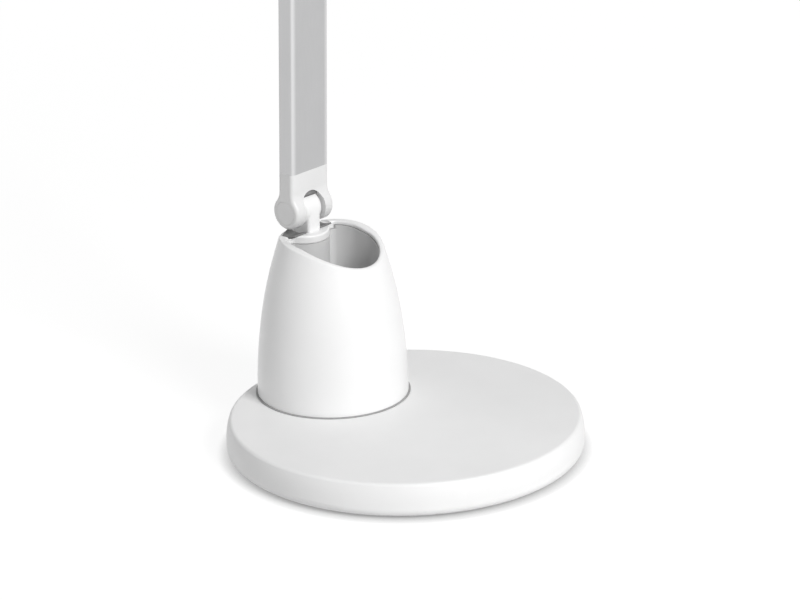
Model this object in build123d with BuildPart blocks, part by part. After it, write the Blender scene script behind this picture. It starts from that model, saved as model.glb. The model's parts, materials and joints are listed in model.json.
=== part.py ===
from build123d import *

import os
from math import cos, radians, sin

# Desk lamp: a round weighted base, a tapered pen cup standing at its rear, and a flat arm that
# is hinged to the cup and carries a light bar.
#
# Millimetres. +Z is up and the lamp faces -Y. The origin is the centre of the base, on the
# surface that the lamp stands on.

os.makedirs("parts", exist_ok=True)

# ---------------------------------------------------------------- driving dimensions

# base
base_radius = 95.0
base_height = 19.5
base_wall = 2.4
base_foot_inset = 5.0  # where the side turns under
base_crown_inset = 2.0  # where the side meets the rounded top edge
base_shoulder = 9.5  # the side is upright up to this height
base_edge_round = 2.0
base_lift = 1.0  # underside above the table
parting_height = 6.0  # tray below, shell above
tray_floor = 2.0
lip_height = 2.0
lip_wall = 1.6
foot_count = 5  # round the edge, with one more in the middle under the ballast
foot_inset = 19.0  # the feet's centres, from the base's edge
foot_radius = 7.0
foot_chamfer = 0.5
foot_pocket_depth = 0.8
tray_boss_wall = 2.6
tray_boss_height = 1.6
ballast_inset = 27.0
ballast_thickness = 6.0
ballast_ring_wall = 1.6
ballast_ring_height = 2.5
ballast_rib = 2.0
ballast_rib_count = 3

# pen cup
cup_wall = 2.0
cup_deck = 2.6
cup_foot_radius = 40.6
cup_hip_radius = 37.9
cup_hip_height = 40.5  # above the base
cup_neck_radius = 32.0
cup_neck_height = 70.5
cup_top_radius = 25.4
cup_top_height = 93.0
crown_radius = 81.9  # the top is cut off along a cylinder that lies across the lamp
crown_height = 88.3
crown_offset = 11.6  # the crown's highest line, behind the cup's axis
rim_round = 1.0
mouth_radius = 22.6  # of its round front and back
mouth_offset = 5.0  # the front round's centre, in front of the cup's axis
mouth_stretch = 6.2  # from the front round's centre to the back round's
mouth_round = 1.0
pedestal_radius = 13.6  # the part of the deck that carries the hinge and bulges into the mouth
pedestal_corner = 4.0
saddle_gap = 4.6  # a hollow in the deck, under and behind the fork
saddle_margin = 2.4
saddle_corner = 2.0
liner_wall = 1.0
liner_floor = 1.6

# arm
hinge_offset = 18.8  # behind the cup's axis
hinge_height = 119.5
arm_lean = 1.7  # forward, in degrees
arm_length = 280.0  # between the two hinge axes
arm_width = 28.0
arm_thickness = 10.4
arm_corner = 2.0
profile_wall = 1.4
profile_web = 1.2
profile_web_at = 6.0
profile_start = 22.3  # the profile's end, from the hinge axis
profile_inner_round = 0.6
spigot_length = 18.0
spigot_round = 0.8

# hinges, the same at both ends of the arm
fork_gap = 15.2
fork_radius = 9.2
fork_blend = 9.0
fork_arch_centre = 3.2
knuckle_radius = 8.6
knuckle_width = 13.6
knuckle_round = 3.5
neck_width = 9.0
neck_round = 2.0
pivot_radius = 3.5
pivot_bore = 2.2
pivot_flange_radius = 5.6
pivot_flange = 0.7
pivot_end = 11.8
pocket_radius = 6.4
cheek_web = 1.2  # what the pocket leaves of each cheek
cap_thickness = 0.9
nut_across_flats = 9.4
nut_height = 2.0
spring_washer = 0.5
friction_washer = 0.5
friction_washer_radius = 4.8

# hinge post
post_neck_depth = 13.2
post_length = 39.5
post_flange_width = 20.0
post_flange_depth = 10.5
post_flange = 3.0
post_flange_round = 2.5
post_flange_offset = 1.0
post_screw_at = 7.4

# leads
lead_radius = 0.9
lead_channel = 1.5
lead_turn = 1.8  # bend where the lead turns into or out of a hinge axis
lead_stub = 0.2  # straight end of the arm's lead inside the pivot
lead_drop_height = 66.0  # where the lead leaves the post and crosses to the board
lead_foot_height = 46.0
lead_drop_bend = 12.0
lead_cheek_x = 11.0
lead_arm_x = 8.6
lead_bend = 6.0  # where the arm's lead jogs from the cheek into the profile

head_jog = 11.0  # beside the power button, to the light board
head_jog_start = 24.0
head_jog_end = 32.0
head_jog_bend = 5.0

# head
head_start = 24.0  # rear end, from the hinge axis
head_length = 280.0
head_width = 44.0
head_below = 5.0
head_above = 6.0
head_corner = 10.0
head_side_round = 2.5
head_wall = 1.8
neck_thickness = 6.4
neck_lap = 1.4  # the neck's end, past the front of its plate's rear edge
plate_thickness = 2.0
plate_width = 30.0
plate_length = 30.0
plate_round = 3.0
plate_screw_x = 10.0
plate_screw_margin = 5.6
plate_screw_pitch = 16.0
bezel_face = 0.8
bezel_wall = 1.4
bezel_height = 3.2
window_start = 40.0  # from the head's rear end
window_margin = 4.6
diffuser_thickness = 1.4
diffuser_lap = 1.6
led_board_start = 56.0
led_board_width = 28.0
led_board_thickness = 1.2
led_board_round = 2.0
board_screw_pitch = 90.0
boss_wall = 1.4
roof_screw_length = 3.0  # what a screw's hole takes in the head's roof
led_rows = 2
led_columns = 18
led_size = 3.0
led_height = 0.7
button_at = 44.0
button_radius = 4.5
button_proud = 0.6
button_travel = 0.6
button_flange_radius = 5.8
button_flange = 0.9
button_flange_drop = 0.45  # the roof curves down beside the button
button_round = 0.5
switch_height = 1.8
switch_size = 6.0
switch_plunger = 0.6
switch_plunger_radius = 1.7
switch_screw_at = 8.5
switch_boss_wall = 0.9
switch_board_width = 12.0
switch_board_margin = 1.5
switch_board_thickness = 1.2

# electronics in the base
board_inset = 23.0
board_width = 52.0
board_depth = 24.0
board_thickness = 1.6
board_post = 3.4
board_post_radius = 2.6
board_margin = 7.0
board_room = 10.0
ballast_room = 6.0
ballast_chamfer = 0.5
lead_hole_radius = 3.0
jack_width = 9.0
jack_height = 9.0
jack_length = 11.2
jack_nose_radius = 4.0
jack_bore = 2.9
jack_pin = 1.0
jack_depth = 9.5

# screws
screw_radius = 1.5
screw_head_radius = 2.9
screw_head = 1.5
small_screw_radius = 1.1
small_screw_head_radius = 2.0
small_screw_head = 0.9

# clearances
fit = 0.05  # a turning or threaded fit, on the radius
slip = 0.1  # between pieces of one body
gap = 0.3  # between pieces that move past each other

# ---------------------------------------------------------------- frames

base_foot_radius = base_radius - base_foot_inset
base_crown_radius = base_radius - base_crown_inset
foot_circle = base_radius - foot_inset
ballast_radius = base_radius - ballast_inset
board_y = base_radius - board_inset
cup_y = base_crown_radius - cup_foot_radius
hinge_y = cup_y + hinge_offset

x_axis = (1, 0, 0)
lean = radians(arm_lean)
arm_up = Vector(0, -sin(lean), cos(lean))
lead_bend_start = fork_radius + 5.0
lead_bend_end = profile_start - 4.0
lower_axis = Vector(0, hinge_y, hinge_height)
upper_axis = lower_axis + arm_up * arm_length
head_forward = Vector(0, -1, 0)


def side_plane(origin, up):
    """A plane across the hinge axis whose Y is up."""
    return Plane(origin=origin, x_dir=up.cross(Vector(x_axis)), z_dir=x_axis)


def front_plane(origin, up):
    """A plane through the hinge axis whose X is the axis and whose Y is up."""
    return Plane(origin=origin, x_dir=x_axis, z_dir=Vector(x_axis).cross(up))


def cross_plane(origin, up, distance=0.0):
    """A plane square to up, at a distance along it."""
    return Plane(origin=origin + up * distance, x_dir=x_axis, z_dir=up)


def level(height):
    """The horizontal plane at a height above the table."""
    return Plane.XY.offset(height)


def save(piece, name):
    """Label a finished piece and write it."""
    piece.part.label = name
    export_step(piece.part, f"parts/{name}.step")


def screws(planes, shank_length, radius, head_radius, head):
    """Pan-head screws: each stands on a plane where its head meets what it holds."""
    with BuildPart() as piece:
        for plane in planes:
            with BuildSketch(plane.offset(-head)):
                Circle(head_radius)
            extrude(amount=head)
            with BuildSketch(plane.offset(-head)):
                RegularPolygon(radius=head_radius * 0.5, side_count=6)
            extrude(amount=head * 0.6, mode=Mode.SUBTRACT)
            with BuildSketch(plane):
                Circle(radius)
            extrude(amount=shank_length)
    return piece


# ---------------------------------------------------------------- base

tray_top = base_lift + tray_floor
shell_under = base_height - base_wall
foot_ring = PolarLocations(foot_circle, foot_count, start_angle=-90)
foot_ring_places = [(place.position.X, place.position.Y) for place in foot_ring.locations]
tray_boss_radius = screw_head_radius + tray_boss_wall
tray_boss_top = tray_top + tray_boss_height
ballast_seat = ballast_radius + slip
foot_seat = base_lift + foot_pocket_depth
head_seat = foot_seat + screw_head + slip
shell_boss_wall = 2.8
tray_screw_length = 9.0  # what its hole takes in the shell
ballast_rib_length = ballast_radius - 34.0
ballast_rib_middle = ballast_radius / 2 + 12.0
ballast_rear = board_y - board_depth / 2 - 5.0
lip_outer = base_radius - base_wall - slip
jack_y = board_y + board_depth / 2 - 5.0
jack_axis = tray_top + board_post + board_thickness + jack_height / 2
jack_nose_end = base_radius - 0.8
jack_plane = Plane(origin=(0, jack_y, jack_axis), x_dir=x_axis, z_dir=(0, 1, 0))
lead_foot = Vector(6.0, board_y, tray_top + board_post + board_thickness + 3.0)

cup_boss_radius = 3.6
cup_boss_height = 14.0
cup_screw_length = 12.0  # what its hole takes in the cup
cup_boss_circle = cup_foot_radius - cup_wall - cup_boss_radius + gap
cup_screw_places = [
    Vector(cup_boss_circle * cos(a), cup_y + cup_boss_circle * sin(a), shell_under)
    for a in (radians(45 + 90 * k) for k in range(4))
]

with BuildPart() as base_shell:
    with BuildSketch(Plane.XZ):
        with BuildLine():
            Polyline((base_crown_radius, base_height), (0, base_height), (0, parting_height),
                     (base_radius, parting_height), (base_radius, base_shoulder))
            TangentArc((base_radius, base_shoulder), (base_crown_radius, base_height), tangent=(0, 1))
        make_face()
    revolve(axis=Axis.Z)
    fillet(base_shell.edges().group_by(Axis.Z)[-1], base_edge_round)
    with BuildSketch(Plane.XZ):
        inner = base_radius - base_wall
        with BuildLine():
            Polyline((base_crown_radius - base_wall, shell_under), (0, shell_under), (0, parting_height),
                     (inner, parting_height), (inner, base_shoulder))
            TangentArc((inner, base_shoulder), (base_crown_radius - base_wall, shell_under), tangent=(0, 1))
        make_face()
    revolve(axis=Axis.Z, mode=Mode.SUBTRACT)
    # screw bosses over the feet, and ribs that hold the ballast down
    with BuildSketch(level(tray_boss_top)):
        with Locations(*foot_ring_places):
            Circle(screw_radius + shell_boss_wall)
    extrude(amount=shell_under - tray_boss_top + slip)
    with BuildSketch(level(tray_top + ballast_thickness + slip)):
        with PolarLocations(ballast_rib_middle, ballast_rib_count, start_angle=-90):
            Rectangle(ballast_rib_length, ballast_rib)
    extrude(amount=shell_under - tray_top - ballast_thickness)
    with BuildSketch(level(tray_boss_top)):
        with Locations(*foot_ring_places):
            Circle(screw_radius + fit)
    extrude(amount=tray_screw_length, mode=Mode.SUBTRACT)
    # holes for the cup's screws, the lead and the power socket
    with BuildSketch(level(shell_under)):
        with Locations(*[(p.X, p.Y) for p in cup_screw_places]):
            Circle(screw_radius + slip)
        with Locations((lead_foot.X, lead_foot.Y)):
            Circle(lead_hole_radius)
    extrude(amount=base_wall, mode=Mode.SUBTRACT)
    with BuildSketch(jack_plane):
        Circle(jack_nose_radius + slip)
    extrude(amount=base_radius, mode=Mode.SUBTRACT)
save(base_shell, "base_shell")

with BuildPart() as base_tray:
    with BuildSketch(Plane.XZ):
        with BuildLine():
            Polyline((base_foot_radius, base_lift), (0, base_lift), (0, tray_top),
                     (base_foot_radius - 2.0, tray_top), (lip_outer - lip_wall, parting_height),
                     (lip_outer - lip_wall, parting_height + lip_height),
                     (lip_outer, parting_height + lip_height), (lip_outer, parting_height),
                     (base_radius, parting_height))
            TangentArc((base_radius, parting_height), (base_foot_radius, base_lift), tangent=(0, -1))
        make_face()
    revolve(axis=Axis.Z)
    with BuildSketch(level(tray_top)):
        with Locations(*foot_ring_places):
            Circle(tray_boss_radius)
    extrude(amount=tray_boss_height)
    with BuildSketch(level(tray_top)):
        with Locations((0, board_y)):
            with GridLocations(board_width - board_margin, board_depth - board_margin, 2, 2):
                Circle(board_post_radius)
    extrude(amount=board_post)
    # a ring that centres the ballast, open at the rear for the board
    with BuildSketch(level(tray_top)):
        Circle(ballast_seat + ballast_ring_wall)
        Circle(ballast_seat, mode=Mode.SUBTRACT)
        with Locations((0, base_radius)):
            Rectangle(board_width + 2 * board_room, base_radius, mode=Mode.SUBTRACT)
    extrude(amount=ballast_ring_height)
    with BuildSketch(level(base_lift)):
        with Locations((0, 0), *foot_ring_places):
            Circle(foot_radius + slip)
    extrude(amount=foot_pocket_depth, mode=Mode.SUBTRACT)
    with BuildSketch(level(foot_seat)):
        with Locations(*foot_ring_places):
            Circle(screw_head_radius + slip)
    extrude(amount=screw_head + slip, mode=Mode.SUBTRACT)
    with BuildSketch(level(head_seat)):
        with Locations(*foot_ring_places):
            Circle(screw_radius + slip)
    extrude(amount=tray_boss_top - head_seat, mode=Mode.SUBTRACT)
save(base_tray, "base_tray")

with BuildPart() as feet:
    with BuildSketch(level(0)):
        with Locations((0, 0), *foot_ring_places):
            Circle(foot_radius)
    extrude(amount=foot_seat)
    chamfer(feet.edges().group_by(Axis.Z)[0], foot_chamfer)
save(feet, "rubber_feet")

tray_screws = screws(
    [Plane(origin=(x, y, head_seat)) for x, y in foot_ring_places],
    tray_boss_top - head_seat + tray_screw_length - 2 * gap, screw_radius, screw_head_radius, screw_head)
save(tray_screws, "tray_screws")

with BuildPart() as ballast_plate:
    with BuildSketch(level(tray_top)):
        Circle(ballast_radius)
        with Locations((0, base_radius)):
            Rectangle(board_width + 2 * ballast_room, 2 * (base_radius - ballast_rear), mode=Mode.SUBTRACT)
    extrude(amount=ballast_thickness)
    chamfer(ballast_plate.edges().group_by(Axis.Z)[-1], ballast_chamfer)
save(ballast_plate, "ballast_plate")

board_under = tray_top + board_post
board_top = board_under + board_thickness

with BuildPart() as control_board:
    with BuildSketch(level(board_under)):
        with Locations((0, board_y)):
            Rectangle(board_width, board_depth)
    extrude(amount=board_thickness)
save(control_board, "control_board")

with BuildPart() as board_components:
    with BuildSketch(level(board_top)):
        with Locations((-9, board_y)):
            Rectangle(6, 5)
        with Locations((-3, board_y + 6), (-3, board_y + 3), (-3, board_y - 6)):
            Rectangle(2.0, 1.2)
    extrude(amount=1.2)
    with BuildSketch(level(board_top)):
        with Locations((-18, board_y)):
            Circle(4.0)
    extrude(amount=4.0)
    with BuildSketch(level(board_top)):
        with Locations((18, board_y + 4), (18, board_y - 5)):
            Circle(2.6)
    extrude(amount=5.5)
    with BuildSketch(level(board_top)):
        with Locations((lead_foot.X, lead_foot.Y)):
            Rectangle(7.5, 4.5)
    extrude(amount=lead_foot.Z - board_top)
save(board_components, "board_components")

with BuildPart() as power_socket:
    with BuildSketch(jack_plane):
        Rectangle(jack_width, jack_height)
    extrude(amount=jack_length)
    with BuildSketch(jack_plane.offset(jack_length)):
        Circle(jack_nose_radius)
    extrude(amount=jack_nose_end - jack_y - jack_length)
    with BuildSketch(jack_plane.offset(jack_nose_end - jack_y - jack_depth)):
        Circle(jack_bore)
        Circle(jack_pin, mode=Mode.SUBTRACT)
    extrude(amount=jack_depth, mode=Mode.SUBTRACT)
save(power_socket, "power_socket")

# ---------------------------------------------------------------- pen cup

crown_axis_y = cup_y + crown_offset
crown_axis_z = base_height + crown_height - crown_radius
cup_axis = Axis((0, cup_y, 0), (0, 0, 1))
cup_plane = Plane.XZ.offset(-cup_y)
mouth_y = cup_y - mouth_offset
mouth_level = base_height + cup_neck_height
saddle_radius = fork_radius + saddle_gap
saddle_half = arm_width / 2 + saddle_margin
post_seat = hinge_height - saddle_radius - cup_deck
post_y = hinge_y - post_flange_offset
neck_y = hinge_y - knuckle_radius + post_neck_depth / 2
post_screw_places = [(-post_screw_at, post_y), (post_screw_at, post_y)]
pad_half = saddle_half + cup_deck
pad_front = hinge_y - pedestal_radius - slip


def cup_body(inset):
    """The cup's outline turned about its axis, inset from its outer face, below the crown."""
    with BuildPart() as body:
        with BuildSketch(cup_plane):
            with BuildLine():
                side = Spline(
                    (cup_foot_radius - inset, base_height),
                    (cup_hip_radius - inset, base_height + cup_hip_height),
                    (cup_neck_radius - inset, base_height + cup_neck_height),
                    (cup_top_radius - inset, base_height + cup_top_height),
                    tangents=((0, 1), (cup_top_radius - cup_neck_radius, cup_top_height - cup_neck_height)),
                    tangent_scalars=(1, 0.9))
                Polyline(side @ 1, (0, base_height + cup_top_height), (0, base_height), side @ 0)
            make_face()
        revolve(axis=cup_axis)
    return body.part


def crown(radius):
    """The cylinder across the lamp whose top is the crown."""
    with BuildPart() as body:
        with BuildSketch(Plane.YZ):
            with Locations((crown_axis_y, crown_axis_z)):
                Circle(radius)
        extrude(amount=cup_foot_radius + 5, both=True)
    return body.part


def mouth_outline(height, grow):
    """The mouth in plan, grown, at a height: an oval that the hinge's pedestal bulges into."""
    with BuildSketch(level(height)) as outline:
        with Locations((0, mouth_y + mouth_stretch / 2)):
            SlotCenterToCenter(mouth_stretch, 2 * (mouth_radius + grow), rotation=90)
        with Locations((0, hinge_y)):
            Circle(pedestal_radius - grow, mode=Mode.SUBTRACT)
        fillet(outline.vertices().group_by(Axis.Y)[-1], pedestal_corner + grow)
    return outline.sketch


def on_mouth(edge):
    """Whether an edge of the cup's top runs along the mouth."""
    middle = edge @ 0.5
    outline = mouth_outline(middle.Z, 0.0).edges()
    return min(e.distance_to(middle) for e in outline) < slip / 2


outer_body = cup_body(0.0)
inner_body = cup_body(cup_wall)
crown_outside = crown(crown_radius)
crown_inside = crown(crown_radius - cup_deck)

with BuildPart() as hinge_pad:
    with BuildSketch(level(post_seat)):
        with Locations((0, pad_front + cup_foot_radius / 2)):
            Rectangle(2 * pad_half, cup_foot_radius)
    extrude(amount=cup_foot_radius)
    add(inner_body, mode=Mode.INTERSECT)
    add(crown_outside, mode=Mode.INTERSECT)

with BuildPart() as saddle:
    with BuildSketch(Plane.YZ) as hollow:
        with Locations((hinge_y, hinge_height)):
            Circle(saddle_radius)
        with Locations((hinge_y + cup_foot_radius / 2, hinge_height - saddle_radius / 2)):
            Rectangle(cup_foot_radius, saddle_radius)
    extrude(amount=saddle_half, both=True)
    fillet(saddle.faces().filter_by(Axis.X).edges(), saddle_corner)

with BuildPart() as pen_cup:
    add(outer_body)
    add(crown_outside, mode=Mode.INTERSECT)
    fillet(pen_cup.edges().group_by(Axis.Z)[-1], rim_round)
    add(inner_body & crown_inside, mode=Mode.SUBTRACT)
    add(hinge_pad.part)
    # screw posts at the foot
    with BuildSketch(level(base_height)):
        with Locations(*[(p.X, p.Y) for p in cup_screw_places]):
            Circle(cup_boss_radius)
    extrude(amount=cup_boss_height)
    with BuildSketch(level(base_height)):
        with Locations(*[(p.X, p.Y) for p in cup_screw_places]):
            Circle(screw_radius + fit)
    extrude(amount=cup_screw_length, mode=Mode.SUBTRACT)
    # the mouth, its edge rounded
    extrude(mouth_outline(mouth_level, 0.0), amount=cup_top_height, mode=Mode.SUBTRACT)
    fillet([e for e in pen_cup.edges() if e.center().Z > mouth_level and on_mouth(e)], mouth_round)
    add(saddle.part, mode=Mode.SUBTRACT)
    # the slot that the hinge post comes up through, and the holes for its screws
    with BuildSketch(level(mouth_level)):
        with Locations((0, neck_y)):
            RectangleRounded(neck_width + 2 * slip, post_neck_depth + 2 * slip, neck_round + slip)
    extrude(amount=cup_top_height, mode=Mode.SUBTRACT)
    with BuildSketch(level(post_seat)):
        with Locations(*post_screw_places):
            Circle(small_screw_radius + fit)
    extrude(amount=cup_deck - 2 * gap, mode=Mode.SUBTRACT)
save(pen_cup, "pen_cup")

with BuildPart() as cup_liner:
    extrude(mouth_outline(base_height, liner_wall), amount=cup_top_height)
    add(crown(crown_radius - cup_deck - slip), mode=Mode.INTERSECT)
    with BuildSketch(level(post_seat - slip)):
        with Locations((0, pad_front - slip + cup_foot_radius / 2)):
            Rectangle(2 * (pad_half + slip), cup_foot_radius)
    extrude(amount=cup_top_height, mode=Mode.SUBTRACT)
    extrude(mouth_outline(base_height + liner_floor, 0.0), amount=cup_top_height, mode=Mode.SUBTRACT)
save(cup_liner, "cup_liner")

cup_screws = screws(
    [Plane(origin=(p.X, p.Y, p.Z)) for p in cup_screw_places],
    base_wall + cup_screw_length - 2 * gap, screw_radius, screw_head_radius, screw_head)
save(cup_screws, "cup_screws")

# ---------------------------------------------------------------- hinges


def tongue(origin, carrier, reach, depth, shift):
    """The rounded knuckle between a fork's cheeks, with a neck, shifted forward, to its carrier."""
    with BuildPart() as piece:
        with BuildSketch(side_plane(origin, carrier)):
            Circle(knuckle_radius)
        extrude(amount=knuckle_width / 2, both=True)
        fillet(piece.edges().filter_by(GeomType.CIRCLE), knuckle_round)
        with BuildSketch(cross_plane(origin, carrier)):
            with Locations((0, shift)):
                RectangleRounded(neck_width, depth, neck_round)
        extrude(amount=reach)
    return piece.part


def tongue_bores(origin, carrier, reach):
    """What is drilled out of a tongue: the pivot's bore, and the lead's way into it."""
    with BuildPart() as piece:
        with BuildSketch(side_plane(origin, carrier)):
            Circle(pivot_radius + fit)
        extrude(amount=knuckle_width, both=True)
        with BuildSketch(cross_plane(origin, carrier)):
            Circle(lead_channel)
        extrude(amount=reach)
    return piece.part


def fork(origin, up):
    """A moulded end of the arm: two cheeks, a root of the arm's section, and a spigot in the profile."""
    pocket_floor = fork_gap / 2 + cheek_web
    with BuildPart() as piece:
        with BuildSketch(side_plane(origin, up)) as outline:
            Circle(fork_radius)
            with Locations((0, profile_start / 2)):
                Rectangle(arm_thickness, profile_start)
            corners = outline.vertices().group_by(Axis.Y)
            fillet(corners[-2], fork_blend)
        extrude(amount=arm_width / 2, both=True)
        sides = piece.faces().filter_by(Axis.X)
        rims = [e for e in sides.edges() if abs(up.dot(e.center() - origin) - profile_start) > slip]
        fillet(rims, arm_corner)
        with BuildSketch(front_plane(origin, up)):
            with Locations((0, fork_arch_centre)):
                Circle(fork_gap / 2)
            with Locations((0, fork_arch_centre - fork_radius)):
                Rectangle(fork_gap, 2 * fork_radius)
        extrude(amount=2 * fork_radius, both=True, mode=Mode.SUBTRACT)
        with BuildSketch(cross_plane(origin, up, profile_start)):
            RectangleRounded(2 * (profile_web_at - profile_web / 2 - slip),
                             arm_thickness - 2 * (profile_wall + slip), spigot_round)
        extrude(amount=spigot_length)
        with BuildSketch(side_plane(origin, up)):
            Circle(pivot_radius + fit)
        extrude(amount=arm_width, both=True, mode=Mode.SUBTRACT)
        for side in (-1, 1):
            with BuildSketch(side_plane(origin, up).offset(side * pocket_floor)):
                Circle(pocket_radius)
            extrude(amount=side * arm_width, mode=Mode.SUBTRACT)
        with BuildLine(front_plane(origin, up)) as route:
            FilletPolyline((-lead_cheek_x, 0), (-lead_cheek_x, lead_bend_start), (-lead_arm_x, lead_bend_end),
                           (-lead_arm_x, profile_start + gap), radius=lead_bend)
        with BuildSketch(Plane(origin=route.line @ 0, z_dir=route.line % 0)):
            Circle(lead_radius + gap)
        sweep(mode=Mode.SUBTRACT)
        with BuildSketch(side_screw_plane(origin, up)):
            Circle(small_screw_radius + fit)
        extrude(amount=-arm_thickness, mode=Mode.SUBTRACT)
    return piece


def side_screw_plane(origin, up):
    """Where the screw that holds a fork in the profile stands: on the arm's rear face."""
    rear = Vector(0, cos(lean), sin(lean))
    return Plane(origin=origin + up * (profile_start + spigot_length / 2) + rear * (arm_thickness / 2),
                 x_dir=x_axis, z_dir=rear)


def pivot(origin, carrier):
    """The hollow pivot: a flange in the left cheek's pocket, and a side hole that the lead turns in by."""
    flange_at = fork_gap / 2 + cheek_web + gap
    with BuildPart() as piece:
        with BuildSketch(side_plane(origin, carrier).offset(-flange_at - pivot_flange)):
            Circle(pivot_radius)
        extrude(amount=flange_at + pivot_flange + pivot_end)
        with BuildSketch(side_plane(origin, carrier).offset(-flange_at - pivot_flange)):
            Circle(pivot_flange_radius)
        extrude(amount=pivot_flange)
        with BuildSketch(side_plane(origin, carrier)):
            Circle(pivot_bore)
        extrude(amount=arm_width, both=True, mode=Mode.SUBTRACT)
        with BuildSketch(cross_plane(origin, carrier)):
            Circle(lead_channel)
        extrude(amount=knuckle_radius, mode=Mode.SUBTRACT)
    return piece


def pivot_nut(origin, carrier):
    """The nut and its spring washer in the right cheek's pocket."""
    washer_at = fork_gap / 2 + cheek_web + gap
    with BuildPart() as piece:
        with BuildSketch(side_plane(origin, carrier).offset(washer_at + spring_washer)):
            RegularPolygon(radius=nut_across_flats / 2, side_count=6, major_radius=False)
        extrude(amount=nut_height)
        with BuildSketch(side_plane(origin, carrier).offset(washer_at)):
            Circle(friction_washer_radius)
        extrude(amount=spring_washer)
        with BuildSketch(side_plane(origin, carrier)):
            Circle(pivot_radius + fit)
        extrude(amount=arm_width, mode=Mode.SUBTRACT)
    return piece


def friction_washers(origin, carrier):
    """A washer on each side of the tongue."""
    with BuildPart() as piece:
        for side in (-1, 1):
            with BuildSketch(side_plane(origin, carrier).offset(side * knuckle_width / 2)):
                Circle(friction_washer_radius)
                Circle(pivot_radius + fit, mode=Mode.SUBTRACT)
            extrude(amount=side * friction_washer)
    return piece


def hinge_caps(origin, carrier):
    """A cap over each cheek's pocket, flush with the cheek."""
    with BuildPart() as piece:
        for side in (-1, 1):
            with BuildSketch(side_plane(origin, carrier).offset(side * (arm_width / 2 - cap_thickness))):
                Circle(pocket_radius - slip)
            extrude(amount=side * cap_thickness)
    return piece


def lead(points, radii):
    """A round lead along straight runs joined by arcs."""
    with BuildPart() as piece:
        with BuildLine() as route:
            FilletPolyline(*points, radius=radii)
        with BuildSketch(Plane(origin=route.line @ 0, z_dir=route.line % 0)):
            Circle(lead_radius)
        sweep()
    return piece


down = Vector(0, 0, -1)
with BuildPart() as hinge_post:
    add(tongue(lower_axis, down, post_length, post_neck_depth, hinge_y - neck_y))
    with BuildSketch(level(post_seat - post_flange)):
        with Locations((0, post_y)):
            RectangleRounded(post_flange_width, post_flange_depth, post_flange_round)
    extrude(amount=post_flange)
    add(tongue_bores(lower_axis, down, post_length), mode=Mode.SUBTRACT)
    with BuildSketch(level(post_seat - post_flange)):
        with Locations(*post_screw_places):
            Circle(small_screw_radius + slip)
    extrude(amount=post_flange, mode=Mode.SUBTRACT)
save(hinge_post, "hinge_post")

post_screws = screws(
    [Plane(origin=(x, y, post_seat - post_flange)) for x, y in post_screw_places],
    post_flange + cup_deck - 3 * gap, small_screw_radius, small_screw_head_radius, small_screw_head)
save(post_screws, "post_screws")

hinges = {
    "lower": (lower_axis, arm_up, down),
    "upper": (upper_axis, -arm_up, head_forward),
}
for end, (origin, up, carrier) in hinges.items():
    save(fork(origin, up), f"{end}_fork")
    save(pivot(origin, carrier), f"{end}_pivot_tube")
    save(pivot_nut(origin, carrier), f"{end}_pivot_nut")
    save(friction_washers(origin, carrier), f"{end}_friction_washers")
    save(hinge_caps(origin, carrier), f"{end}_hinge_caps")

# ---------------------------------------------------------------- arm

chamber_depth = arm_thickness - 2 * profile_wall
chamber_half = profile_web_at - profile_web / 2
side_chamber = arm_width / 2 - profile_wall - profile_web_at - profile_web / 2
side_chamber_x = profile_web_at + profile_web / 2 + side_chamber / 2

with BuildPart() as arm_profile:
    with BuildSketch(cross_plane(lower_axis, arm_up, profile_start)):
        RectangleRounded(arm_width, arm_thickness, arm_corner)
        RectangleRounded(2 * chamber_half, chamber_depth, profile_inner_round, mode=Mode.SUBTRACT)
        with Locations((-side_chamber_x, 0), (side_chamber_x, 0)):
            RectangleRounded(side_chamber, chamber_depth, profile_inner_round, mode=Mode.SUBTRACT)
    extrude(amount=arm_length - 2 * profile_start)
    for origin, up, carrier in hinges.values():
        with BuildSketch(side_screw_plane(origin, up)):
            Circle(small_screw_radius + slip)
        extrude(amount=-profile_wall * 2, mode=Mode.SUBTRACT)
save(arm_profile, "arm_profile")

fork_screws = screws([Plane(side_screw_plane(origin, up).origin, x_dir=x_axis,
                            z_dir=-side_screw_plane(origin, up).z_dir)
                      for origin, up, carrier in hinges.values()],
                     arm_thickness - profile_wall - 2 * gap, small_screw_radius, small_screw_head_radius,
                     small_screw_head)
save(fork_screws, "fork_screws")

# ---------------------------------------------------------------- head

head_z = upper_axis.Z
head_rear = upper_axis.Y - head_start
head_bottom = head_z - head_below
skin_top = head_z + head_above - head_wall
plate_top = head_z - lead_radius - gap
plate_bottom = plate_top - plate_thickness


def along(distance):
    """A place on the head's centre line, at a distance from its rear end."""
    return head_rear - distance


def head_plan(height, inset, length=head_length, start=0.0):
    """The head's rounded outline in plan, on the plane at a height."""
    with BuildSketch(level(height)) as outline:
        with Locations((0, along(start + length / 2))):
            RectangleRounded(head_width - 2 * inset, length - 2 * inset, head_corner - inset)
    return outline.sketch


def head_section(inset):
    """The head's section: flat underside, low sides and a crowned top, drawn on its rear end's plane."""
    half = head_width / 2 - inset
    with BuildSketch(Plane(origin=(0, along(inset), head_z), x_dir=x_axis, z_dir=(0, -1, 0))) as outline:
        with BuildLine():
            Polyline((-half, 0), (-half, -head_below), (half, -head_below), (half, 0))
            ThreePointArc((half, 0), (0, head_above - inset), (-half, 0))
        make_face()
        fillet(outline.vertices().group_by(Axis.Y)[-1], head_side_round)
    return outline.sketch


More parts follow.
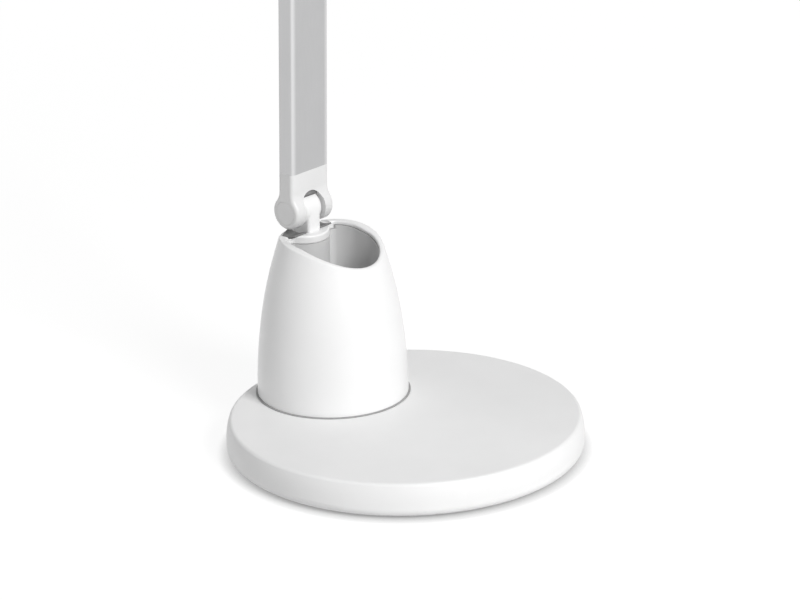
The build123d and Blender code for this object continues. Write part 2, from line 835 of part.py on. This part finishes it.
neck_hole = cross_plane(Vector(0, head_rear, head_z), head_forward)
plate_inset = head_wall + bezel_wall + 2 * slip
button_y = along(button_at)
button_flange_top = skin_top - button_flange_drop
switch_top = button_flange_top - button_flange - button_travel - gap
switch_board_top = switch_top - switch_height
led_board_top = head_z
led_board_length = head_length - led_board_start - 2 * head_corner
led_middle_y = along(led_board_start + led_board_length / 2)
plate_screw_places = [
    (x, along(plate_inset + y)) for x in (-plate_screw_x, plate_screw_x)
    for y in (plate_screw_margin, plate_screw_margin + plate_screw_pitch)
]
board_screw_places = [(0, led_middle_y + k * board_screw_pitch) for k in (-1, 0, 1)]
switch_screw_places = [(0, button_y - switch_screw_at), (0, button_y + switch_screw_at)]


def head_body(inset):
    """The head's closed outline, inset from its outer face."""
    with BuildPart() as body:
        extrude(head_section(inset), amount=head_length - 2 * inset)
        extrude(head_plan(head_bottom, inset), amount=head_below + head_above, mode=Mode.INTERSECT)
    return body.part


roof_bosses = (
    (plate_top, plate_screw_places, small_screw_radius + boss_wall),
    (led_board_top, board_screw_places, small_screw_radius + boss_wall),
    (switch_board_top, switch_screw_places, small_screw_radius + switch_boss_wall),
)
with BuildPart() as bosses:
    for height, places, radius in roof_bosses:
        with BuildSketch(level(height)):
            with Locations(*places):
                Circle(radius)
        extrude(amount=head_below + head_above)
    add(head_body(head_wall / 2), mode=Mode.INTERSECT)

with BuildPart() as head_shell:
    add(head_body(0.0))
    add(head_body(head_wall), mode=Mode.SUBTRACT)
    add(bosses.part)
    for height, places in ((plate_top, plate_screw_places), (led_board_top, board_screw_places)):
        with BuildSketch(level(height)):
            with Locations(*places):
                Circle(small_screw_radius + fit)
        extrude(amount=roof_screw_length, mode=Mode.SUBTRACT)
    with BuildSketch(neck_hole):
        Rectangle(neck_width + 2 * slip, neck_thickness + 2 * slip)
    extrude(amount=2 * head_wall, mode=Mode.SUBTRACT)
    with BuildSketch(level(head_z)):
        with Locations((0, button_y)):
            Circle(button_radius + gap)
    extrude(amount=head_above * 2, mode=Mode.SUBTRACT)
save(head_shell, "head_shell")

with BuildPart() as head_knuckle:
    add(tongue(upper_axis, head_forward, head_start + plate_inset + neck_lap, neck_thickness, 0.0))
    with BuildSketch(level(plate_bottom)):
        with Locations((0, along(plate_inset + plate_length / 2))):
            RectangleRounded(plate_width, plate_length, plate_round)
    extrude(amount=plate_thickness)
    add(tongue_bores(upper_axis, head_forward, head_start + plate_length), mode=Mode.SUBTRACT)
    with BuildSketch(level(plate_bottom)):
        with Locations(*plate_screw_places):
            Circle(small_screw_radius + slip)
    extrude(amount=plate_thickness, mode=Mode.SUBTRACT)
save(head_knuckle, "head_knuckle")

knuckle_screws = screws([Plane(origin=(x, y, plate_bottom)) for x, y in plate_screw_places],
                        plate_thickness + roof_screw_length - gap, small_screw_radius,
                        small_screw_head_radius, small_screw_head)
save(knuckle_screws, "knuckle_screws")

window_length = head_length - window_start - window_margin
with BuildPart() as head_bezel:
    extrude(head_plan(head_bottom, head_wall + slip), amount=bezel_height)
    extrude(head_plan(head_bottom + bezel_face, head_wall + slip + bezel_wall), amount=bezel_height,
            mode=Mode.SUBTRACT)
    extrude(head_plan(head_bottom, window_margin, window_length + 2 * window_margin,
                      window_start - window_margin), amount=bezel_height, mode=Mode.SUBTRACT)
    with BuildSketch(level(head_bottom + bezel_face)):
        with Locations((0, along(window_start - diffuser_lap - slip - bezel_wall / 2))):
            Rectangle(head_width - 2 * (head_wall + bezel_wall), bezel_wall)
    extrude(amount=diffuser_thickness)
    with BuildSketch(neck_hole):
        Rectangle(neck_width + 2 * slip, neck_thickness + 2 * slip)
    extrude(amount=plate_inset, mode=Mode.SUBTRACT)
save(head_bezel, "head_bezel")

with BuildPart() as diffuser:
    extrude(head_plan(head_bottom + bezel_face, head_wall + slip + bezel_wall + slip),
            amount=diffuser_thickness)
    with BuildSketch(level(head_bottom)):
        with Locations((0, along(window_start - diffuser_lap - head_length / 2))):
            Rectangle(head_width, head_length)
    extrude(amount=head_below, mode=Mode.SUBTRACT)
save(diffuser, "diffuser")

led_board_bottom = led_board_top - led_board_thickness
with BuildPart() as led_board:
    with BuildSketch(level(led_board_bottom)):
        with Locations((0, led_middle_y)):
            RectangleRounded(led_board_width, led_board_length, led_board_round)
        with Locations(*board_screw_places):
            Circle(small_screw_radius + slip, mode=Mode.SUBTRACT)
    extrude(amount=led_board_thickness)
save(led_board, "led_board")

with BuildPart() as leds:
    with BuildSketch(level(led_board_bottom)):
        with Locations((0, led_middle_y)):
            with GridLocations(led_board_width / led_rows, led_board_length / led_columns,
                               led_rows, led_columns):
                Rectangle(led_size, led_size)
    extrude(amount=-led_height)
save(leds, "leds")

board_screws = screws([Plane(origin=(x, y, led_board_bottom)) for x, y in board_screw_places],
                      led_board_thickness + roof_screw_length - gap, small_screw_radius,
                      small_screw_head_radius, small_screw_head)
save(board_screws, "board_screws")

with BuildPart() as switch_board:
    with BuildSketch(level(switch_board_top - switch_board_thickness)):
        with Locations((0, button_y)):
            Rectangle(switch_board_width, 2 * (switch_screw_at + switch_board_margin))
    extrude(amount=switch_board_thickness)
    with BuildSketch(level(switch_board_top)):
        with Locations((0, button_y)):
            Rectangle(switch_size, switch_size)
    extrude(amount=switch_height - switch_plunger)
    with BuildSketch(level(switch_board_top)):
        with Locations((0, button_y)):
            Circle(switch_plunger_radius)
    extrude(amount=switch_height)
save(switch_board, "switch_board")

with BuildPart() as power_button:
    with BuildSketch(level(button_flange_top - button_flange)):
        with Locations((0, button_y)):
            Circle(button_flange_radius)
    extrude(amount=button_flange)
    with BuildSketch(level(button_flange_top)):
        with Locations((0, button_y)):
            Circle(button_radius)
    extrude(amount=button_flange_drop + head_wall + button_proud)
    fillet(power_button.edges().group_by(Axis.Z)[-1], button_round)
save(power_button, "power_button")

# ---------------------------------------------------------------- leads

lead_cut = lead_cheek_x - lead_turn - lead_stub  # where the leads meet, inside the pivot

base_lead = lead(
    [(gap - lead_cut, hinge_y, hinge_height), (0, hinge_y, hinge_height),
     (0, hinge_y, lead_drop_height), (lead_foot.X, lead_foot.Y, lead_foot_height), tuple(lead_foot)],
    [lead_turn, lead_drop_bend, lead_drop_bend])
save(base_lead, "base_lead")


def on_arm(x, distance):
    """A point of the arm's lead, at a distance along the arm from the lower hinge."""
    return tuple(lower_axis + Vector(x, 0, 0) + arm_up * distance)


arm_lead = lead(
    [on_arm(-lead_cut, 0), on_arm(-lead_cheek_x, 0), on_arm(-lead_cheek_x, lead_bend_start),
     on_arm(-lead_arm_x, lead_bend_end), on_arm(-lead_arm_x, arm_length - lead_bend_end),
     on_arm(-lead_cheek_x, arm_length - lead_bend_start), on_arm(-lead_cheek_x, arm_length),
     on_arm(-lead_cut, arm_length)],
    [lead_turn, lead_bend, lead_bend, lead_bend, lead_bend, lead_turn])
save(arm_lead, "arm_lead")

head_lead = lead(
    [(gap - lead_cut, upper_axis.Y, head_z), (0, upper_axis.Y, head_z), (0, along(head_jog_start), head_z),
     (-head_jog, along(head_jog_end), head_z), (-head_jog, along(led_board_start - gap), head_z)],
    [lead_turn, head_jog_bend, head_jog_bend])
save(head_lead, "head_lead")
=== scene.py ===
import json
from math import cos, pi, radians, sin

import bmesh
import bpy
from mathutils import Matrix, Vector


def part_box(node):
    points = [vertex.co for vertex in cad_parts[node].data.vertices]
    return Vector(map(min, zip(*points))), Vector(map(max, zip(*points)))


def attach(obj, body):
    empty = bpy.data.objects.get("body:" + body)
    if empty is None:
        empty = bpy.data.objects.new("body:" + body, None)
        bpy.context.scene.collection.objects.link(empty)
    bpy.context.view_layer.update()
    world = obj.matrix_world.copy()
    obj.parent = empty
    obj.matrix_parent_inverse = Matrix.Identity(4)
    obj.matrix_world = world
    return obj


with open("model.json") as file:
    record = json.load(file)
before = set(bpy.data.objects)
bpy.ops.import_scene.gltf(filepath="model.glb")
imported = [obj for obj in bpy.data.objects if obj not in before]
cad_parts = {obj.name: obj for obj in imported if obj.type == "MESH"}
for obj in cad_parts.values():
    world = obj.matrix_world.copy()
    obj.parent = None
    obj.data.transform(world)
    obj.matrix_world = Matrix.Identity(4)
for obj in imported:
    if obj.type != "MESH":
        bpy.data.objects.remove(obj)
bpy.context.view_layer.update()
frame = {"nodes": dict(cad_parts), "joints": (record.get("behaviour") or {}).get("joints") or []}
nodes = frame["nodes"]

# ---------------------------------------------------------------- places, in metres

base_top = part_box("base_shell")[1].z
cup_low, cup_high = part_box("pen_cup")
joints = {joint["name"]: joint for joint in frame["joints"]}
hinge = Vector(joints["arm_tilt"]["pos_m"])
wrist = Vector(joints["head_tilt"]["pos_m"])
arm_up = (wrist - hinge).normalized()
arm_back = Vector((1, 0, 0)).cross(-arm_up)
arm_half_width = 0.014
arm_half_depth = 0.0052
arm_corner = 0.002
cup_radius = cup_high.x
cup_centre = Vector((0, (cup_low.y + cup_high.y) / 2, base_top))

# ---------------------------------------------------------------- camera

camera_place = Vector((-1.4370, -1.3278, 0.8326))
camera_target = Vector((0.1600, 0.1505, 0.0))
camera_roll = radians(-1.0)
sensor_width = 36.0
lens = 180.0

view = (camera_target - camera_place).normalized()
level_right = view.cross(Vector((0, 0, 1))).normalized()
level_up = level_right.cross(view)
right = level_right * cos(camera_roll) + level_up * sin(camera_roll)
up = level_up * cos(camera_roll) - level_right * sin(camera_roll)

camera_data = bpy.data.cameras.new("camera")
camera_data.sensor_width = sensor_width
camera_data.lens = lens
camera_data.clip_start = 0.01
camera_data.clip_end = 50.0
camera = bpy.data.objects.new("camera", camera_data)
bpy.context.scene.collection.objects.link(camera)
camera.matrix_world = Matrix.Translation(camera_place) @ Matrix(
    (right, up, -view)).transposed().to_4x4()
bpy.context.scene.camera = camera

# ---------------------------------------------------------------- node helpers

noise_low, noise_high = 0.3, 0.7  # most of a noise texture's values lie between these


def new_material(name):
    """A material with an empty tree, and its output."""
    material = bpy.data.materials.new(name)
    material.use_nodes = True
    tree = material.node_tree
    tree.nodes.clear()
    output = tree.nodes.new("ShaderNodeOutputMaterial")
    return material, tree, output


def add_node(tree, kind, inputs=None, **settings):
    """A node with its settings and the values of its inputs."""
    made = tree.nodes.new(kind)
    for key, value in settings.items():
        setattr(made, key, value)
    for key, value in (inputs or {}).items():
        made.inputs[key].default_value = value
    return made


def grey(level):
    """A neutral colour."""
    return (level, level, level)


def object_place(tree, stretch=(1, 1, 1)):
    """The point in the lamp's own frame, stretched for a texture that has a direction."""
    coordinates = add_node(tree, "ShaderNodeTexCoord")
    mapping = add_node(tree, "ShaderNodeMapping", {"Scale": stretch})
    tree.links.new(coordinates.outputs["Object"], mapping.inputs["Vector"])
    return mapping.outputs["Vector"]


def noise(tree, place, scale, detail=3.0, roughness=0.5):
    """The grey value of a noise texture."""
    made = add_node(tree, "ShaderNodeTexNoise",
                    {"Scale": scale, "Detail": detail, "Roughness": roughness})
    tree.links.new(place, made.inputs["Vector"])
    return made.outputs["Fac"]


def spread(tree, value, low, high):
    """A noise value moved to the range low to high."""
    made = add_node(tree, "ShaderNodeMapRange",
                    {"From Min": noise_low, "From Max": noise_high, "To Min": low, "To Max": high})
    tree.links.new(value, made.inputs["Value"])
    return made.outputs["Result"]


def shades(tree, value, dark, light):
    """A colour between two, by a noise value."""
    ramp = add_node(tree, "ShaderNodeValToRGB")
    for stop, position, colour in zip(ramp.color_ramp.elements, (noise_low, noise_high), (dark, light)):
        stop.position = position
        stop.color = (*colour, 1)
    tree.links.new(value, ramp.inputs["Fac"])
    return ramp.outputs["Color"]


def bump(tree, heights, strength, depth):
    """A bump of a real depth, in metres."""
    made = add_node(tree, "ShaderNodeBump", {"Strength": strength, "Distance": depth})
    tree.links.new(heights, made.inputs["Height"])
    return made.outputs["Normal"]


def past(tree, value, start, end):
    """How far a value is past the start, on its way to the end, from 0 to 1."""
    made = add_node(tree, "ShaderNodeMapRange", {"From Min": start, "From Max": end},
                    interpolation_type="SMOOTHSTEP")
    tree.links.new(value, made.inputs["Value"])
    return made.outputs["Result"]


def calculate(tree, operation, *values):
    """A calculation on sockets and numbers."""
    made = add_node(tree, "ShaderNodeMath", operation=operation)
    for slot, value in zip(made.inputs, values):
        if isinstance(value, float):
            slot.default_value = value
        else:
            tree.links.new(value, slot)
    return made.outputs["Value"]


def seen_directly(tree):
    """1 for a ray from the camera, off a glossy face or through a clear piece; 0 for other rays."""
    path = add_node(tree, "ShaderNodeLightPath")
    mirrored = calculate(tree, "MAXIMUM", path.outputs["Is Camera Ray"], path.outputs["Is Glossy Ray"])
    return calculate(tree, "MAXIMUM", mirrored, path.outputs["Is Transmission Ray"])


def mixed(tree, amount, first, second):
    """Two shaders, mixed by an amount."""
    made = add_node(tree, "ShaderNodeMixShader")
    for slot, source in zip(made.inputs, (amount, first, second)):
        tree.links.new(source, slot)
    return made.outputs["Shader"]


def dress(names, material):
    """Give CAD nodes a material."""
    for name in names:
        slots = nodes[name].data.materials
        slots.clear()
        slots.append(material)


# ---------------------------------------------------------------- materials

cloud_scale = 22.0  # of the plastic's faint cloudiness, per metre
gloss_scale = 60.0  # of its patches of gloss
grain_bump = 0.35
mottle_bump = 0.3
pit_ratio = 8  # how much finer a mottled surface's pits are than its patches
patch_scale = 30.0  # of the aluminium's patches
patch_share = 0.35  # of those patches in its colour, next to the brush lines
line_scale = 3200.0  # of the brush lines, across them
line_stretch = (1.0, 1.0, 0.012)  # makes each line long in the arm's direction
line_bump = 0.3
side_start, side_end = 1.9, 0.6  # where the painted highlight on the arm's corners starts and ends, in corner rounds from its edges
depth_start, depth_end = 0.6, 0.2
float_a, float_b, colour_a, colour_b, colour_result = 2, 3, 6, 7, 2  # sockets of a Mix node


def moulded(name, dark, light, rough, grain, depth, coat=0.0):
    """Moulded plastic: a faint cloudiness, a fine spark-eroded grain and uneven gloss."""
    material, tree, output = new_material(name)
    place = object_place(tree)
    shader = add_node(tree, "ShaderNodeBsdfPrincipled",
                      {"IOR": 1.5, "Coat Weight": coat, "Coat Roughness": 0.12})
    tree.links.new(shades(tree, noise(tree, place, cloud_scale), dark, light), shader.inputs["Base Color"])
    tree.links.new(spread(tree, noise(tree, place, gloss_scale), *rough), shader.inputs["Roughness"])
    grains = noise(tree, place, grain, detail=2.0)
    tree.links.new(bump(tree, grains, grain_bump, depth), shader.inputs["Normal"])
    tree.links.new(shader.outputs["BSDF"], output.inputs["Surface"])
    return material


def arm_corner_highlight(tree):
    """1 on the profile's four long rounded corners, where a highlight is painted, 0 on its flats."""
    coordinates = add_node(tree, "ShaderNodeTexCoord")
    apart = add_node(tree, "ShaderNodeSeparateXYZ")
    tree.links.new(coordinates.outputs["Object"], apart.inputs["Vector"])
    across = add_node(tree, "ShaderNodeVectorMath", operation="DOT_PRODUCT")
    across.inputs[1].default_value = arm_back
    tree.links.new(coordinates.outputs["Object"], across.inputs[0])
    middle = float(arm_back.dot(hinge))
    depth = calculate(tree, "ABSOLUTE", calculate(tree, "SUBTRACT", across.outputs["Value"], middle))
    side = calculate(tree, "ABSOLUTE", apart.outputs["X"])
    side_band = (arm_half_width - side_start * arm_corner, arm_half_width - side_end * arm_corner)
    depth_band = (arm_half_depth - depth_start * arm_corner, arm_half_depth - depth_end * arm_corner)
    return calculate(tree, "MULTIPLY", past(tree, side, *side_band), past(tree, depth, *depth_band))


def brushed(name, dark, light, painted_highlight, rough, depth):
    """Brushed and anodised metal: fine lines along the arm, and a painted highlight, a lighter colour along
    its corners where a light's reflection falls.
    """
    material, tree, output = new_material(name)
    lines = noise(tree, object_place(tree, line_stretch), line_scale, detail=4.0, roughness=0.6)
    patches = noise(tree, object_place(tree), patch_scale, detail=2.0)
    shader = add_node(tree, "ShaderNodeBsdfPrincipled", {"Metallic": 1.0, "Anisotropic": 0.4})
    mottled = add_node(tree, "ShaderNodeMix", {"Factor": patch_share}, data_type="FLOAT")
    tree.links.new(lines, mottled.inputs[float_a])
    tree.links.new(patches, mottled.inputs[float_b])
    # painted highlight: the corners get a lighter colour where a light's reflection falls
    corners = add_node(tree, "ShaderNodeMix", data_type="RGBA")
    corners.inputs[colour_b].default_value = (*painted_highlight, 1)
    tree.links.new(arm_corner_highlight(tree), corners.inputs["Factor"])
    tree.links.new(shades(tree, mottled.outputs["Result"], dark, light), corners.inputs[colour_a])
    tree.links.new(corners.outputs[colour_result], shader.inputs["Base Color"])
    tree.links.new(spread(tree, lines, *rough), shader.inputs["Roughness"])
    tree.links.new(bump(tree, lines, line_bump, depth), shader.inputs["Normal"])
    tree.links.new(shader.outputs["BSDF"], output.inputs["Surface"])
    return material


def plain_noise(name, dark, light, rough, scale, metallic=0.0, depth=0.00002):
    """A matt or metal surface with a mottled colour."""
    material, tree, output = new_material(name)
    place = object_place(tree)
    patches = noise(tree, place, scale)
    shader = add_node(tree, "ShaderNodeBsdfPrincipled", {"Metallic": metallic})
    tree.links.new(shades(tree, patches, dark, light), shader.inputs["Base Color"])
    tree.links.new(spread(tree, patches, *rough), shader.inputs["Roughness"])
    pits = noise(tree, place, scale * pit_ratio)
    tree.links.new(bump(tree, pits, mottle_bump, depth), shader.inputs["Normal"])
    tree.links.new(shader.outputs["BSDF"], output.inputs["Surface"])
    return material


white_shell = moulded("white_shell", grey(0.87), grey(0.90), (0.30, 0.36),
                      grain=2600.0, depth=0.00002, coat=0.15)
white_base = moulded("white_base", grey(0.86), grey(0.89), (0.38, 0.46), grain=1900.0, depth=0.00003)
white_fork = moulded("white_fork", grey(0.74), grey(0.78), (0.36, 0.44), grain=2200.0, depth=0.00002)
# the cup's inside is greyer than its white shell: painted shade for the shadow in its mouth
cup_inner = moulded("cup_inner", grey(0.62), grey(0.67), (0.50, 0.58), grain=1700.0, depth=0.00003)
# the third colour is the painted highlight on the arm's corners
arm_metal = brushed("arm_aluminium", (0.50, 0.50, 0.505), (0.55, 0.55, 0.555),
                    (0.70, 0.70, 0.705), (0.34, 0.44), depth=0.00001)
foot_rubber = plain_noise("rubber_foot", grey(0.05), grey(0.09), (0.75, 0.9), scale=120.0)
steel_plate = plain_noise("steel_plate", (0.20, 0.20, 0.21), (0.32, 0.32, 0.33), (0.4, 0.6),
                          scale=60.0, metallic=1.0)
screw_steel = plain_noise("screw_steel", (0.50, 0.50, 0.51), (0.62, 0.62, 0.63), (0.25, 0.4),
                          scale=400.0, metallic=1.0)
pivot_steel = plain_noise("pivot_steel", (0.55, 0.55, 0.56), (0.68, 0.68, 0.69), (0.2, 0.32),
                          scale=300.0, metallic=1.0)
circuit_green = plain_noise("circuit_board", (0.02, 0.13, 0.06), (0.03, 0.19, 0.09), (0.3, 0.45), scale=150.0)
board_white = plain_noise("led_board_white", grey(0.78), grey(0.84), (0.4, 0.5), scale=150.0)
component_black = plain_noise("component_black", grey(0.02), grey(0.05), (0.45, 0.6), scale=500.0)
led_yellow = plain_noise("led_package", (0.86, 0.74, 0.30), (0.92, 0.82, 0.42), (0.2, 0.35), scale=700.0)
opal = moulded("diffuser_opal", (0.88, 0.88, 0.87), (0.91, 0.91, 0.90), (0.42, 0.5),
               grain=1500.0, depth=0.00001)
jacket = plain_noise("lead_jacket", grey(0.70), grey(0.78), (0.5, 0.65), scale=500.0)
# dark grey for the pieces under and inside the arm's forks: painted shade
painted_shade_grey = plain_noise("painted_shade_grey", grey(0.17), grey(0.23), (0.7, 0.85), scale=900.0)
# grey for the ring round the cup's foot: painted shade
painted_shade_ring_grey = plain_noise("painted_shade_ring_grey", grey(0.30), grey(0.38), (0.6, 0.75), scale=900.0)
socket_black = plain_noise("socket_black", grey(0.02), grey(0.04), (0.4, 0.55), scale=500.0)

dress(["pen_cup", "hinge_post", "power_button"], white_shell)
dress(["lower_fork", "upper_fork", "lower_hinge_caps", "upper_hinge_caps",
       "head_knuckle", "head_shell", "head_bezel"], white_fork)
dress(["base_shell", "base_tray"], white_base)
dress(["cup_liner"], cup_inner)
dress(["arm_profile"], arm_metal)
dress(["rubber_feet"], foot_rubber)
dress(["ballast_plate"], steel_plate)
dress(["tray_screws", "cup_screws", "post_screws", "fork_screws",
       "board_screws", "knuckle_screws"], screw_steel)
dress(["lower_pivot_tube", "upper_pivot_tube", "lower_pivot_nut", "upper_pivot_nut",
       "lower_friction_washers", "upper_friction_washers"], pivot_steel)
dress(["control_board", "switch_board"], circuit_green)
dress(["led_board"], board_white)
dress(["board_components"], component_black)
dress(["leds"], led_yellow)
dress(["diffuser"], opal)
dress(["base_lead", "arm_lead", "head_lead"], jacket)
dress(["power_socket"], socket_black)

# ---------------------------------------------------------------- small dark pieces that paint shade

sharp_angle = 0.7  # an edge with a bend above this, in radians, is softened


def piece(name, points, faces, material, body, soften=0.0):
    """A closed mesh that rides on a body, its sharp edges softened when soften is above 0."""
    mesh = bpy.data.meshes.new(name)
    mesh.from_pydata([tuple(point) for point in points], [], faces)
    shape = bmesh.new()
    shape.from_mesh(mesh)
    bmesh.ops.remove_doubles(shape, verts=shape.verts, dist=1e-6)
    bmesh.ops.recalc_face_normals(shape, faces=shape.faces)
    if soften > 0:
        sharp = [edge for edge in shape.edges
                 if len(edge.link_faces) == 2 and edge.calc_face_angle() > sharp_angle]
        bmesh.ops.bevel(shape, geom=sharp, offset=soften, segments=2, profile=0.5, affect="EDGES")
    for face in shape.faces:
        face.smooth = True
    shape.to_mesh(mesh)
    shape.free()
    mesh.materials.append(material)
    made = bpy.data.objects.new(name, mesh)
    bpy.context.scene.collection.objects.link(made)
    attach(made, body)


def strip(rings):
    """Points and faces of a bar that runs through rings of equal length, capped at both ends."""
    count = len(rings[0])
    last = (len(rings) - 1) * count
    points = [point for ring in rings for point in ring]
    faces = []
    for a in range(0, last, count):
        b = a + count
        faces += [(a + i, a + (i + 1) % count, b + (i + 1) % count, b + i) for i in range(count)]
    faces += [tuple(range(count)), tuple(range(last, last + count))]
    return points, faces


# dark grey pads in the hollow under the arm's cheeks, painted shade for the dark gap under the fork, cut off
# on a circle round the cup's axis
saddle_radius = 0.0138
pad_clearance = 0.0001
pad_thickness = 0.0010
pad_inner = 0.0053
pad_outer = 0.0142
pad_circle = 0.0255
pad_start = -31  # in degrees from straight below the hinge, the back being plus
pad_sweep = 55
pad_steps = 12
pad_soften = 0.0003
for side, name in ((-1, "shade_pad_left"), (1, "shade_pad_right")):
    rings = []
    for k in range(pad_steps + 1):
        angle = radians(pad_start + pad_sweep * k / pad_steps)
        down = Vector((0, sin(angle), -cos(angle)))
        low = hinge + down * (saddle_radius - pad_clearance)
        high = low - down * pad_thickness
        behind = low.y - cup_centre.y
        reach = min(pad_outer, (pad_circle ** 2 - behind ** 2) ** 0.5)
        inner, outer = Vector((side * pad_inner, 0, 0)), Vector((side * reach, 0, 0))
        rings.append([low + inner, low + outer, high + outer, high + inner])
    piece(name, *strip(rings), painted_shade_grey, "base", pad_soften)

# dark blocks between each fork's arch and its knuckle: painted shade for the shadowed gap at the top of the
# arch
arch_radius = 0.0075
arch_centre = 0.0032
shade_block_inside = 0.0089
shade_block_rows = 8
shade_block_steps = 12
lower_half_depth = 0.0046
upper_half_depth = 0.0024


def arch_shade_block(name, origin, up, back, half_depth, body):
    """A dark block that fills the top of the fork's arch, hollowed round the knuckle: painted shade where the
    arch's gap is in shadow.
    """
    rings = []
    for j in range(shade_block_rows + 1):
        depth = half_depth * (2 * j / shade_block_rows - 1)
        low = (shade_block_inside ** 2 - depth ** 2) ** 0.5
        reach = (arch_radius ** 2 - (low - arch_centre) ** 2) ** 0.5
        across = [reach * (2 * i / shade_block_steps - 1) for i in range(shade_block_steps + 1)]
        ring = [(x, arch_centre + (arch_radius ** 2 - x ** 2) ** 0.5) for x in across]
        ring += [(x, low) for x in reversed(across[1:-1])]
        rings.append([origin + Vector((x, 0, 0)) + up * height + back * depth for x, height in ring])
    piece(name, *strip(rings), painted_shade_grey, body)


arch_shade_block("lower_arch_shade", hinge, arm_up, arm_back, lower_half_depth, "arm")
arch_shade_block("upper_arch_shade", wrist, -arm_up, arm_back, upper_half_depth, "arm")

# a grey ring round the cup's foot: painted shade for the contact shadow where the cup meets the base; it
# thins out where the base's edge rounds away behind it
ring_width = 0.0010
ring_height = 0.0006
ring_sunk = 0.0001  # into the cup's wall
ring_slope = 0.7  # the outer edge's height, as a share of the inner one's
ring_ends = radians(27)  # from straight behind the cup
ring_taper = radians(6)
ring_least = 0.05  # of its full size, where it ends
ring_steps = 120
rings = []
for k in range(ring_steps + 1):
    angle = ring_ends + (2 * pi - 2 * ring_ends) * k / ring_steps
    size = min(1.0, (angle - ring_ends) / ring_taper, (2 * pi - ring_ends - angle) / ring_taper)
    size = max(size, ring_least)
    out = Vector((sin(angle), cos(angle), 0))
    near = cup_centre + out * (cup_radius - ring_sunk)
    far = cup_centre + out * (cup_radius + ring_width * size)
    raised = Vector((0, 0, ring_height * size))
    rings.append([near, far, far + raised * ring_slope, near + raised])
piece("cup_foot_shade_ring", *strip(rings), painted_shade_ring_grey, "base")

# ---------------------------------------------------------------- floor, world and lights

floor_size = 12.0
contact_reach = 0.007  # how near a piece has to be to shade the floor
contact_least = 0.3  # what that shade leaves of the floor's glow
fade_start, fade_end = 0.5, 2.0  # distances from the lamp between which the floor grows brighter
floor_near, floor_far = 0.88, 0.96
floor_shadowed = grey(0.2)  # the share of the floor that the lamp's shadow darkens
floor_plain = grey(0.8)
world_light = 0.28
light_aim = Vector((0, 0, 0.1))


def floor_material():
    """White to the camera and to reflections, with the lamp's shadow kept; plain pale to other rays.

    From below it is clear, so that the feet and the tray can be seen.
    """
    material, tree, output = new_material("floor")
    contact = add_node(tree, "ShaderNodeAmbientOcclusion", {"Distance": contact_reach}, samples=8)
    softened = add_node(tree, "ShaderNodeMapRange", {"To Min": contact_least, "To Max": 1.0})
    tree.links.new(contact.outputs["AO"], softened.inputs["Value"])
    coordinates = add_node(tree, "ShaderNodeTexCoord")
    distance = add_node(tree, "ShaderNodeVectorMath", operation="LENGTH")
    tree.links.new(coordinates.outputs["Object"], distance.inputs[0])
    away = add_node(tree, "ShaderNodeMapRange",
                    {"From Min": fade_start, "From Max": fade_end, "To Min": floor_near, "To Max": floor_far},
                    interpolation_type="SMOOTHSTEP")
    tree.links.new(distance.outputs["Value"], away.inputs["Value"])
    glow = add_node(tree, "ShaderNodeEmission", {"Color": (1, 1, 1, 1)})
    tree.links.new(calculate(tree, "MULTIPLY", softened.outputs["Result"], away.outputs["Result"]),
                   glow.inputs["Strength"])
    shadowed = add_node(tree, "ShaderNodeBsdfDiffuse", {"Color": (*floor_shadowed, 1)})
    bright = add_node(tree, "ShaderNodeAddShader")
    tree.links.new(shadowed.outputs["BSDF"], bright.inputs[0])
    tree.links.new(glow.outputs["Emission"], bright.inputs[1])
    plain = add_node(tree, "ShaderNodeBsdfDiffuse", {"Color": (*floor_plain, 1)})
    above = mixed(tree, seen_directly(tree), plain.outputs["BSDF"], bright.outputs["Shader"])
    facing = add_node(tree, "ShaderNodeNewGeometry")
    clear = add_node(tree, "ShaderNodeBsdfTransparent")
    surface = mixed(tree, facing.outputs["Backfacing"], above, clear.outputs["BSDF"])
    tree.links.new(surface, output.inputs["Surface"])
    return material


floor_mesh = bpy.data.meshes.new("floor")
half = floor_size / 2
corners = [(-half, -half, 0), (half, -half, 0), (half, half, 0), (-half, half, 0)]
floor_mesh.from_pydata(corners, [], [(0, 1, 2, 3)])
floor_mesh.materials.append(floor_material())
floor = bpy.data.objects.new("floor", floor_mesh)
bpy.context.scene.collection.objects.link(floor)

world = bpy.data.worlds.new("world")
bpy.context.scene.world = world
world.use_nodes = True
world_tree = world.node_tree
world_tree.nodes.clear()
dim = add_node(world_tree, "ShaderNodeBackground", {"Color": (1, 1, 1, 1), "Strength": world_light})
white = add_node(world_tree, "ShaderNodeBackground", {"Color": (1, 1, 1, 1), "Strength": 1.0})
world_output = add_node(world_tree, "ShaderNodeOutputWorld")
world_tree.links.new(
    mixed(world_tree, seen_directly(world_tree), dim.outputs["Background"], white.outputs["Background"]),
    world_output.inputs["Surface"])


def soft_box(name, direction, distance, size, power):
    """A square area light that faces the lamp.

    Its direction is given to the right, towards the camera and up.
    """
    toward = Vector((-view.x, -view.y, 0)).normalized()
    place = level_right * direction[0] + toward * direction[1] + Vector((0, 0, direction[2]))
    place = place.normalized() * distance + light_aim
    data = bpy.data.lights.new(name, "AREA")
    data.shape = "SQUARE"
    data.size = size
    data.energy = power
    light = bpy.data.objects.new(name, data)
    bpy.context.scene.collection.objects.link(light)
    turned = (light_aim - place).to_track_quat("-Z", "Y").to_matrix().to_4x4()
    light.matrix_world = Matrix.Translation(place) @ turned


soft_box("key", (0.60, 0.80, 0.70), distance=2.2, size=0.8, power=39.5)
soft_box("fill", (-0.98, -0.17, 0.5), distance=2.6, size=1.6, power=9.0)

bpy.context.scene.view_settings.view_transform = "Standard"
